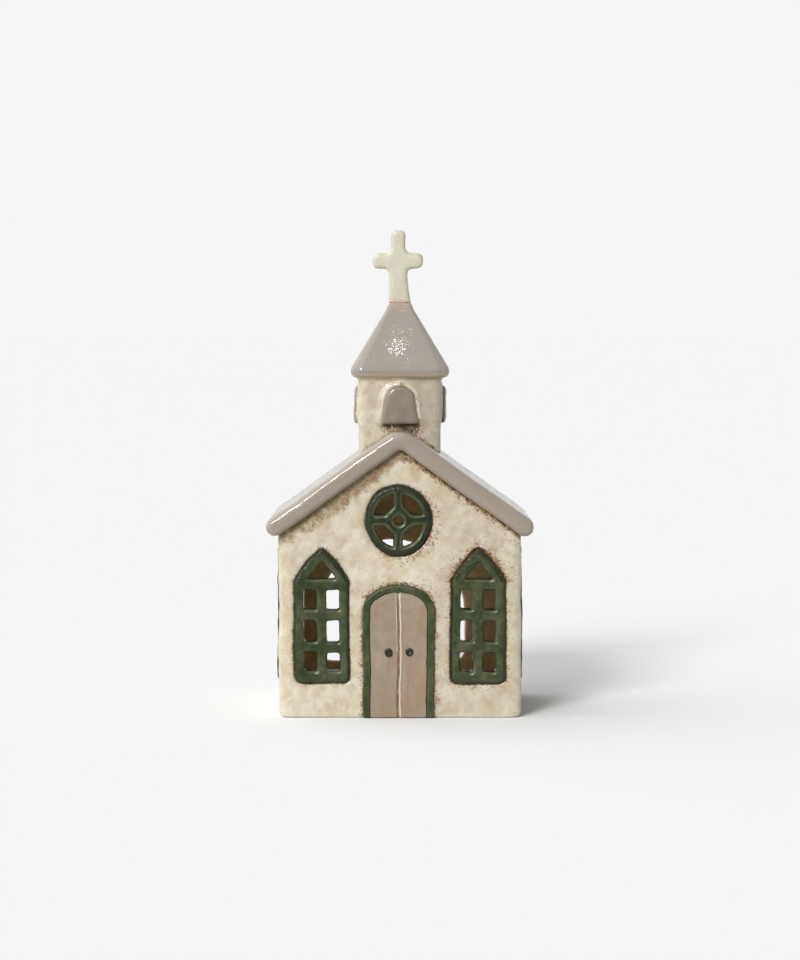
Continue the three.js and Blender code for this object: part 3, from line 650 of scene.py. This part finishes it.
class CHURCH_OT_nave(Operator):
    """Cast walls of the nave in one piece, with the wash in their joints."""
    bl_idname = "church.nave"
    bl_label = "Nave walls"

    def execute(self, context):
        sizes = context.scene.church_shape
        shape = gathered(*WALLS)
        for vert in shape.verts:
            top = wall_apex - abs(vert.co.x) * roof_rise
            if vert.co.z > top - NEAR:
                vert.co.z += sizes.tuck
        shape = fired(shape, sizes.wall_mesh, rounds=6, swell=0.1 * MM)
        smooth(shape, rounds=12, chosen=lambda vert: vert.co.z < sizes.foot_curl)
        to_roof = gap_to(*ROOF)
        to_windows = gap_to("lancet_window_left", *SIDE_WINDOWS)
        to_lancet = gap_to("lancet_window_right")
        to_rose = gap_to("rose_window")
        to_door = gap_to("door_surround")
        to_leaves = gap_to("door_leaf_left", "door_leaf_right")
        to_frames = gap_to("door_surround", *FRONT_WINDOWS, *SIDE_WINDOWS)
        rose_middle = (rose_low + rose_high) / 2
        down_right = Vector((0.8, 0, -0.6))
        door_foot = Vector((door_high.x, door_low.y, 9 * MM))

        def wash(vert):
            """Oxide wash with a painted shadow of the roof mixed in, widest halfway down the roof's left
            side, and a line of wash round the leaves.
            """
            along = min(0.0, vert.co.x) / half_width * 2 + 1
            left = sizes.wash_and_shadow_left * (1 - 0.35 * along ** 2)
            right = clamped(vert.co.x / (5 * MM))
            reach = left + (sizes.wash_and_shadow_right - left) * right
            roof_stain_and_shadow = fade(to_roof(vert.co), reach, 4) * (1 - 0.4 * right)
            return max(roof_stain_and_shadow, fade(to_leaves(vert.co), MM, 4))

        def ring(distance, dense, sparse):
            return max(dense * fade(distance, sizes.fringe), sparse * fade(distance, sizes.halo, 2))

        def oxide(vert):
            """Round windows and door, most at the right, and at the front's corners."""
            place = vert.co
            right = place.x > 0
            away = (place - rose_middle).normalized().dot(down_right)
            lancet_near = 0.45 if place.z > lancet_shoulder else 1
            door_near = 0.6 if place.z > door_high.z - 6 * MM else 1
            front = place.z > 20 * MM and place.y < MM - half_depth
            return max(
                # On the left the oxide follows the wash band, which is partly a painted shadow of the
                # roof.
                ring(to_roof(place) - 1.2 * MM, 0.8, 0.4) if right else 0.4 * wash(vert),
                ring(to_rose(place) * (1 - 0.4 * away), 0.75 + 0.35 * away, 0.4 + 0.12 * away),
                ring(to_windows(place), 0.8, 0.3),
                ring(to_lancet(place) * lancet_near, 1, 0.42),
                ring(to_door(place) * door_near, 0.9, 0.38 if right else 0.25),
                0.25 * fade(half_width - abs(place.x), 5 * MM, 2) * front,
                0.7 * fade((place - door_foot).length, 5 * MM, 2))

        inside_x = half_width - wall_thickness / 2
        inside_y = half_depth - wall_thickness / 2
        # The wash mark lays oxide in the joints and a painted shadow of the roof under its edges.
        mark(
            shape, wash=wash, oxide=oxide,
            # shade is painted shade, darkest about 32 mm right of the front's middle.
            shade=lambda vert: 0.14 * fade(abs(vert.co.x - 32 * MM), 20 * MM, 4),
            thin=lambda vert: sharpness(vert) * (1 - fade(to_frames(vert.co), 2 * MM, 4)),
            raw=lambda vert: abs(vert.co.x) < inside_x and abs(vert.co.y) < inside_y)
        waver(shape)
        add_piece("nave_shell", shape, "cream_glaze", WALLS)
        return {"FINISHED"}


class CHURCH_OT_roof(Operator):
    """Roof of the nave with round eaves and a round ridge."""
    bl_idname = "church.roof"
    bl_label = "Roof"

    def execute(self, context):
        sizes = context.scene.church_shape
        shape = fired(
            gathered(*ROOF), sizes.roof_mesh, rounds=10, swell=0.2 * MM,
            held=lambda vert: abs(vert.co.y) < half_depth)
        smooth(shape, rounds=14, chosen=lambda vert: (
            abs(vert.co.y) > half_depth and abs(vert.co.x) < 4 * MM
            and vert.co.z < wall_apex + 3 * MM))
        to_tower = gap_to("tower_shaft")
        inside_x = half_width - wall_thickness
        inside_y = half_depth - wall_thickness
        mark(
            shape, thin=sharpness, warm=lambda vert: 0.6,
            oxide=lambda vert: 0.6 * fade(to_tower(vert.co), 1.2 * MM),
            raw=lambda vert: (
                abs(vert.co.x) < inside_x and abs(vert.co.y) < inside_y
                and vert.co.z < wall_apex - abs(vert.co.x) * roof_rise + 2 * MM))
        waver(shape, 0.6)
        add_piece("nave_roof", shape, "taupe_glaze", ROOF)
        return {"FINISHED"}


class CHURCH_OT_tower(Operator):
    """Tower with its cornice and blind windows, drawn down onto the roof and up into the spire."""
    bl_idname = "church.tower"
    bl_label = "Tower"

    def execute(self, context):
        sizes = context.scene.church_shape
        names = ["tower_shaft", "tower_cornice", *(f"tower_window_surround_{side}" for side in QUARTERS)]
        shape = gathered(*names)
        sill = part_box("tower_window_surround_front")[0].z
        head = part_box("tower_cornice")[1].z
        for vert in shape.verts:
            if vert.co.z < sill - MM:
                vert.co.z -= sizes.tuck
            elif vert.co.z > head - NEAR:
                vert.co.z += sizes.tuck
        shape = fired(shape, sizes.tower_mesh, rounds=9, swell=0.15 * MM)
        smooth(shape, rounds=16, chosen=lambda vert: abs(vert.co.z - sill) < 2.5 * MM)
        to_roof = gap_to(*ROOF)
        to_shutters = gap_to(*(f"tower_shutter_{side}" for side in QUARTERS))

        def across(vert):
            return min(abs(vert.co.x), abs(vert.co.y))

        def pigment(vert):
            """Pigment that has run from a sill."""
            return fade(vert.co.z - sill, 0.6 * MM, 2) * fade(across(vert), 10 * MM, 8)

        def oxide(vert):
            """Along the roof, round the shutters, stronger on the right where it is partly painted shade,
            and under and on the sills.
            """
            right = vert.co.x > 0
            strong = 1.0 if right else 0.7
            return max(
                strong * fade(to_roof(vert.co), 1.6 * MM),
                # Round the shutters, stronger on the right: oxide with painted shade on the side away
                # from the light.
                (0.6 if right else 0.2) * fade(to_shutters(vert.co), 1.2 * MM),
                strong * pigment(vert) * fade(sill - vert.co.z, 5 * MM, 4),
                0.42 * right * fade(vert.co.z - sill, 0.8 * MM, 2) * fade(across(vert), 13 * MM, 4))

        def soot(vert):
            """Darkest run of the pigment, longer at the right."""
            reach = 4.5 if vert.co.x > 0 else 2.5
            return 0.8 * pigment(vert) * fade(sill - vert.co.z, reach * MM, 3)

        mark(
            shape, oxide=oxide, soot=soot, thin=sharpness,
            # wash round the shutters on the right only: oxide wash with painted shade.
            wash=lambda vert: 0.7 * (vert.co.x > 0) * fade(to_shutters(vert.co), 2.4 * MM, 2),
            # shade is painted shade that grows over the tower's right half.
            shade=lambda vert: 0.45 * clamped(vert.co.x / (8 * MM)))
        waver(shape)
        add_piece("bell_tower", shape, "cream_glaze", names)
        for side in QUARTERS:
            source = f"tower_shutter_{side}"
            shape = fired(
                gathered(source), sizes.trim_mesh, rounds=26, swell=0.4 * MM, held=lambda vert: False)
            # deep lays the darker taupe over the whole shutter.
            mark(shape, deep=lambda vert: 0.7, oxide=lambda vert: 0.95 * fade(vert.co.z - sill, 2 * MM))
            waver(shape)
            add_piece(f"shutter_{side}", shape, "taupe_glaze", [source])
        return {"FINISHED"}


class CHURCH_OT_spire(Operator):
    """Hollow spire with a thick round rim."""
    bl_idname = "church.spire"
    bl_label = "Spire"

    def execute(self, context):
        shape = fired(gathered("spire"), context.scene.church_shape.tower_mesh, rounds=5)
        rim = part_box("spire")[0].z + 1.5 * MM
        to_cross = gap_to("cross")
        mark(
            # under marks the rim's cream underside, laid darker as painted shadow under the rim.
            shape, thin=sharpness, under=lambda vert: (rim - vert.co.z) / MM + 0.5,
            oxide=lambda vert: 0.6 * fade(to_cross(vert.co), 0.5 * MM),
            blush=lambda vert: 0.6 * fade(to_cross(vert.co), 4 * MM, 2))
        waver(shape, 0.02)
        add_piece("spire_cap", shape, "taupe_glaze", ["spire"])
        return {"FINISHED"}


class CHURCH_OT_cross(Operator):
    """Cross on the tip of the spire, its foot spread to one side."""
    bl_idname = "church.cross"
    bl_label = "Cross"

    def execute(self, context):
        sizes = context.scene.church_shape
        shape = gathered("cross")
        low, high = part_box("cross")
        middle = (low.x + high.x) / 2
        flare_top = low.z + (high.z - low.z) * 0.45
        arms = low.z + (high.z - low.z) * 0.7
        for vert in shape.verts:
            if vert.co.z < low.z + 2 * MM:
                vert.co.z -= sizes.tuck * 2
        shape = fired(shape, sizes.trim_mesh, rounds=14, swell=0.1 * MM, held=lambda vert: False)
        for vert in shape.verts:
            if vert.co.x > middle and vert.co.z < flare_top:
                vert.co.x += sizes.cross_flare * ((flare_top - vert.co.z) / (flare_top - low.z)) ** 2
            elif vert.co.z > arms:
                vert.co.x -= (vert.co.x - middle) * 0.1 * clamped((vert.co.z - arms) / (2 * MM))
        to_spire = gap_to("spire")
        mark(
            shape, oxide=lambda vert: 0.9 * fade(to_spire(vert.co), 0.6 * MM),
            blush=lambda vert: 0.5 * fade(to_spire(vert.co), 1.4 * MM))
        waver(shape, 0.6)
        add_piece("spire_cross", shape, "ivory_glaze", ["cross"])
        return {"FINISHED"}


class CHURCH_OT_windows(Operator):
    """Pierced window frames with round bars."""
    bl_idname = "church.windows"
    bl_label = "Windows"

    def execute(self, context):
        sizes = context.scene.church_shape
        to_walls = gap_to("front_wall", "side_wall_left", "side_wall_right")
        for name in FRONT_WINDOWS + SIDE_WINDOWS:
            outward, plane = (0, half_width) if name in SIDE_WINDOWS else (1, half_depth)
            flat_share = 0.5 if name == "rose_window" else 0.0
            crumb_share = 1.0 if name == "lancet_window_right" else 0.6
            shape = fired(gathered(name), sizes.trim_mesh, rounds=12, swell=0.4 * MM)
            shape.normal_update()

            def rim(vert):
                """Along the wall, wider at the head, and on the rose window's flat front."""
                away = to_walls(laid_in(vert.co, outward, plane))
                reach = 2.2 if vert.co.z > lancet_shoulder else 1.1
                flat = flat_share * (abs(vert.normal[outward]) > 0.97)
                return max(0.8 * fade(away, reach * MM, 2), flat)

            def crumb(vert):
                away = to_walls(laid_in(vert.co, outward, plane))
                return crumb_share * (vert.co.z > lancet_shoulder) * fade(away, 1.6 * MM, 2)

            # slope: how far a face turns from the wall; the green finish paints sheen on bevels and shade
            # in openings from it.
            mark(shape, rim=rim, slope=lambda vert: 1 - abs(vert.normal[outward]))
            crust(shape, crumb)
            waver(shape)
            add_piece(f"{name}_frame", shape, "green_glaze", [name])
        return {"FINISHED"}


class CHURCH_OT_door(Operator):
    """Door surround, leaves and knobs."""
    bl_idname = "church.door"
    bl_label = "Door"

    def execute(self, context):
        sizes = context.scene.church_shape
        to_leaves = gap_to("door_leaf_left", "door_leaf_right")
        to_knobs = gap_to("door_knob_left", "door_knob_right")
        to_surround = gap_to("door_surround")
        to_walls = gap_to("front_wall")
        middle = (door_low.x + door_high.x) / 2

        def pale(vert):
            """Pale lines under the arch and along the joint, on the left leaf only above: painted
            highlights on the leaves' rounded edges, partly glaze thinning there.
            """
            side = vert.co.x - middle
            seam = 0.9 if side > 0 else 0.7 * (vert.co.z > door_high.z / 2)
            arch = fade(abs(to_surround(laid_in(vert.co, 1, half_depth + 0.5 * MM)) - 2 * MM), MM, 2)
            fading = fade(door_high.z - vert.co.z, 14 * MM, 2)
            return max(0.5 * arch * fading, seam * fade(abs(abs(side) - 0.8 * MM), 0.35 * MM, 2))

        # Solid, piece, finish, and how far the glaze swells it in millimetres
        pieces = [
            ("door_surround", "door_arch", "green_glaze", 0.15),
            ("door_leaf_left", "door_panel_left", "door_glaze", 0.05),
            ("door_leaf_right", "door_panel_right", "door_glaze", 0.05),
            ("door_knob_left", "door_pull_left", "green_glaze", 0.1),
            ("door_knob_right", "door_pull_right", "green_glaze", 0.1),
        ]
        for source, name, slot, swell in pieces:
            shape = gathered(source)
            for vert in shape.verts:
                if vert.co.y > -half_depth - NEAR:
                    vert.co.y += sizes.tuck
            shape = fired(shape, sizes.trim_mesh * 0.8, rounds=4, swell=swell * MM)
            shape.normal_update()
            if slot == "door_glaze":
                for vert in shape.verts:
                    side = vert.co.x - middle
                    vert.co.x -= math.copysign(sizes.groove * fade(abs(side), 2 * MM, 2), side)
                # thin carries the pale lines, partly painted highlights, stronger on the right leaf.
                mark(shape, thin=pale, oxide=lambda vert: max(
                    fade(abs(vert.co.x - middle), 0.35 * MM, 6), 0.6 * fade(to_knobs(vert.co), 0.4 * MM)))
            else:
                knob = "knob" in source
                # slope drives painted sheen and painted shade in the green, as on the windows.
                mark(
                    shape, slope=lambda vert: 1 - abs(vert.normal.y),
                    rim=lambda vert: 0.95 - 0.4 * vert.normal.y ** 4 if knob else (
                        0.7 * fade(min(to_leaves(vert.co), to_walls(vert.co)), 0.7 * MM)))
                crust(shape, lambda vert: (not knob) * (vert.co.z > door_high.z - 5 * MM) * (
                    fade(to_walls(vert.co), 1.3 * MM, 2)))
            waver(shape)
            add_piece(name, shape, slot, [source])
        return {"FINISHED"}


class CHURCH_OT_floor(Operator):
    """Unglazed floor slab between the walls."""
    bl_idname = "church.floor"
    bl_label = "Floor slab"

    def execute(self, context):
        shape = fired(gathered("floor_slab"), context.scene.church_shape.wall_mesh, rounds=2)
        add_piece("base_slab", shape, "bare_clay", ["floor_slab"])
        return {"FINISHED"}


def turned(profile, segments):
    """Closed body turned about Z from points of radius and height that start and end on the axis."""
    shape = bmesh.new()
    verts = [shape.verts.new((radius, 0, height)) for radius, height in profile]
    edges = [shape.edges.new(pair) for pair in zip(verts, verts[1:])]
    bmesh.ops.spin(
        shape, geom=verts + edges, cent=(0, 0, 0), axis=(0, 0, 1), angle=math.tau, steps=segments,
        use_merge=True)
    bmesh.ops.remove_doubles(shape, verts=shape.verts, dist=WELD)
    bmesh.ops.recalc_face_normals(shape, faces=shape.faces)
    return shape


def drawn_cup(sizes):
    """Drawn foil cup with a rolled lip and fine flutes."""
    low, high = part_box("tealight_cup")
    roll, wall, foot, crease = 0.6 * MM, 0.5 * MM, 1 * MM, 0.2 * MM
    flutes, faces_per_flute, bands_up = 54, 4, 12
    outer = high.x - roll
    inner = outer - wall
    shape = turned([
        (0, low.z), (outer - foot, low.z), (outer, low.z + foot), (outer, high.z - 2 * roll),
        (high.x, high.z - roll), (outer, high.z), (inner, high.z - roll), (inner, low.z + wall),
        (0, low.z + wall),
    ], flutes * faces_per_flute)
    sharp = [edge for edge in shape.edges if edge.calc_face_angle(0.0) > math.radians(20)]
    bmesh.ops.bevel(
        shape, geom=sharp, offset=crease, segments=3, profile=0.5, affect="EDGES", material=-1)
    upright = [edge for edge in shape.edges if (
        edge.calc_length() > 3 * MM and edge.verts[0].co.xy.length > inner - MM)]
    bmesh.ops.subdivide_edges(shape, edges=upright, cuts=bands_up, use_grid_fill=True)
    for vert in shape.verts:
        radius = vert.co.xy.length
        height = (vert.co.z - low.z) / (high.z - low.z)
        if radius > inner - WELD and 0.1 < height < 0.9:
            turn = math.atan2(vert.co.y, vert.co.x)
            vert.co.xy *= 1 + sizes.flutes * math.cos(flutes * turn) * math.sin(math.pi * height) / radius
    return shape


def poured_wax(sizes):
    """Wax that climbs a little at the cup and at the wick."""
    edge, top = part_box("tealight_wax")[1].xz
    shape = fired(gathered("tealight_wax"), sizes.wax_mesh, rounds=2)
    for vert in shape.verts:
        if vert.co.z > top - MM:
            radius = vert.co.xy.length
            rise = fade(edge - radius, 0.7 * MM) + 0.7 * fade(radius - MM, 0.8 * MM)
            dip = noise.noise(vert.co / (5 * MM)) * 0.25
            vert.co.z += sizes.meniscus * (rise + dip)
    return shape


def twisted_wick():
    """Wick of three strands laid round each other, leaning a little at its tip."""
    low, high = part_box("wick")
    height = high.z - low.z
    strands, bulge, core = 3, 0.15, 0.84
    turns, steps = 4, 90
    lean_height, lean = height * 0.6, 1.1 * MM
    shape = bmesh.new()
    ring = bmesh.ops.create_circle(shape, segments=24, radius=high.x * core)["verts"]
    for vert in ring:
        vert.co.xy *= 1 + bulge * math.cos(strands * math.atan2(vert.co.y, vert.co.x))
        vert.co.z = low.z
    bmesh.ops.spin(
        shape, geom=ring + shape.edges[:], cent=(0, 0, 0), axis=(0, 0, 1), angle=math.tau * turns,
        steps=steps, dvec=(0, 0, height / steps))
    bmesh.ops.holes_fill(shape, edges=shape.edges, sides=0)
    bmesh.ops.recalc_face_normals(shape, faces=shape.faces)
    for vert in shape.verts:
        over = max(0.0, vert.co.z - (high.z - lean_height)) / lean_height
        vert.co.x += lean * over ** 3
    return shape


class CHURCH_OT_tealight(Operator):
    """Tealight: fluted foil cup, wax and twisted wick."""
    bl_idname = "church.tealight"
    bl_label = "Tealight"

    def execute(self, context):
        sizes = context.scene.church_shape
        add_piece("candle_cup", drawn_cup(sizes), "foil", ["tealight_cup"], "tealight")
        add_piece("candle_wax", poured_wax(sizes), "wax", ["tealight_wax"], "tealight")
        add_piece("candle_wick", twisted_wick(), "wick_cotton", ["wick"], "tealight")
        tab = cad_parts["wick_tab"]
        tab.data.materials.clear()
        tab.data.materials.append(finish_for("foil"))
        return {"FINISHED"}


def lay_floor(stage):
    """Pale floor whose colour gives the backdrop's under the stage's light."""
    suns = ((stage.key, stage.key_elevation), (stage.soft, stage.soft_elevation))
    daylight = stage.sky + sum(power * math.sin(elevation) for power, elevation in suns) / math.pi
    floor = Finish([value / daylight for value in stage.backdrop], {
        "Roughness": 0.9, "Specular IOR Level": 0,
    })
    floor.material.name = "studio_floor"
    grid = bmesh.new()
    bmesh.ops.create_grid(grid, x_segments=1, y_segments=1, size=stage.floor_reach)
    for vert in grid.verts:
        vert.co.y = max(vert.co.y, -stage.floor_front)
    mesh = bpy.data.meshes.new("studio_floor")
    grid.to_mesh(mesh)
    grid.free()
    mesh.materials.append(floor.material)
    plane = put("studio_floor", mesh)


def hang_sky(stage):
    """Soft light from all round, and the pale room that the camera and the gloss see instead of it."""
    world = bpy.data.worlds.new("studio")
    bpy.context.scene.world = world
    world.use_nodes = True
    made = Nodes(world.node_tree)
    rays = made.node("ShaderNodeLightPath").outputs
    place = made.node("ShaderNodeTexCoord").outputs["Generated"]
    depth = made.node("ShaderNodeSeparateXYZ", {0: place}).outputs["Y"]
    light = made.step(depth, -1, 1, stage.sky - stage.back_fill, stage.sky + stage.back_fill, "LINEAR")
    dark_until, pale_from = -0.95, -0.3
    gloss = made.step(depth, dark_until, pale_from, stage.dark_side, 1, "LINEAR")
    seen = made.worked("MAXIMUM", rays["Is Camera Ray"], gloss)
    direct = made.worked("MAXIMUM", rays["Is Camera Ray"], rays["Is Glossy Ray"])
    sky = made.node("ShaderNodeBackground", {"Color": (1, 1, 1, 1), "Strength": light})
    room = made.node("ShaderNodeBackground", {"Color": (*stage.backdrop, 1), "Strength": seen})
    blend = made.node("ShaderNodeMixShader", {0: direct, 1: sky.outputs[0], 2: room.outputs[0]})
    made.tree.links.new(blend.outputs[0], made.tree.nodes["World Output"].inputs["Surface"])


def hang_lamp(name, light, place):
    """Lamp that shines from a place towards the origin."""
    lamp = put(name, light)
    lamp.matrix_world = Matrix.Translation(place) @ place.to_track_quat("Z", "Y").to_matrix().to_4x4()
    return lamp


def hang_sun(name, power, azimuth, elevation, spread):
    """Broad light at an azimuth from the church's left towards its front."""
    across = math.cos(elevation)
    sun = bpy.data.lights.new(name, "SUN")
    sun.energy = power
    sun.angle = spread
    hang_lamp(name, sun, Vector((
        -across * math.cos(azimuth), -across * math.sin(azimuth), math.sin(elevation))))


def hang_spark(stage, eye):
    """Small lamp where the front of the spire mirrors it to the camera."""
    spire = bpy.data.objects["spire_cap"]
    aim = Vector((-stage.spark_left, 0, stage.spark_place))
    tree = BVHTree.FromObject(spire, bpy.context.evaluated_depsgraph_get())
    place = tree.ray_cast(eye, aim - eye)[0]
    normals = [
        vert.normal for vert in spire.data.vertices if (vert.co - place).length < stage.spark_patch]
    facing = sum(normals, Vector()).normalized()
    toward = (eye - place).normalized()
    mirrored = 2 * facing.dot(toward) * facing - toward
    light = bpy.data.lights.new("spark_light", "AREA")
    light.energy = stage.spark
    light.size = stage.spark_size
    lamp = hang_lamp("spark_light", light, mirrored)
    lamp.matrix_world.translation = place + mirrored * stage.spark_reach


class CHURCH_OT_stage(Operator):
    """Pale floor, soft light and the camera."""
    bl_idname = "church.stage"
    bl_label = "Stage"

    def execute(self, context):
        stage = context.scene.church_stage
        lay_floor(stage)
        hang_sky(stage)
        hang_sun("key_light", stage.key, stage.key_azimuth, stage.key_elevation, stage.key_spread)
        hang_sun("soft_light", stage.soft, stage.soft_azimuth, stage.soft_elevation, stage.soft_spread)
        lens = bpy.data.cameras.new("camera")
        lens.lens = stage.camera_lens
        lens.sensor_width = stage.camera_film
        camera = put("camera", lens)
        camera.location = (0, -stage.camera_distance, stage.camera_height)
        camera.rotation_euler = (math.pi / 2 - stage.camera_tilt, 0, 0)
        context.scene.camera = camera
        context.scene.view_settings.view_transform = "Standard"
        hang_spark(stage, Vector(camera.location))
        return {"FINISHED"}


BUILD_ORDER = (
    CHURCH_OT_nave, CHURCH_OT_roof, CHURCH_OT_tower, CHURCH_OT_spire, CHURCH_OT_cross,
    CHURCH_OT_windows, CHURCH_OT_door, CHURCH_OT_floor, CHURCH_OT_tealight, CHURCH_OT_stage,
)
GROUPS = {"church_shape": ChurchShape, "church_glazes": ChurchGlazes, "church_stage": ChurchStage}


class CHURCH_PT_sidebar(Panel):
    """Sidebar with the church's sizes, colours and pieces."""
    bl_idname = "CHURCH_PT_sidebar"
    bl_label = "Church tealight holder"
    bl_space_type = "VIEW_3D"
    bl_region_type = "UI"
    bl_category = "Church"

    def draw(self, context):
        layout = self.layout
        for step in BUILD_ORDER:
            layout.operator(step.bl_idname)
        for group in [getattr(context.scene, key) for key in GROUPS]:
            column = layout.column()
            for name in group.__annotations__:
                column.prop(group, name)


CLASSES = (*GROUPS.values(), *BUILD_ORDER, CHURCH_PT_sidebar)


def register():
    """Makes the classes and their settings known."""
    for known in CLASSES:
        bpy.utils.register_class(known)
    for key, group in GROUPS.items():
        setattr(bpy.types.Scene, key, PointerProperty(type=group))


def unregister():
    """Takes the classes and their settings away again."""
    for key in GROUPS:
        delattr(bpy.types.Scene, key)
    for known in reversed(CLASSES):
        bpy.utils.unregister_class(known)


def main():
    """Makes every piece in order."""
    register()
    for step in BUILD_ORDER:
        group, name = step.bl_idname.split(".")
        getattr(getattr(bpy.ops, group), name)()


if __name__ == "__main__":
    main()
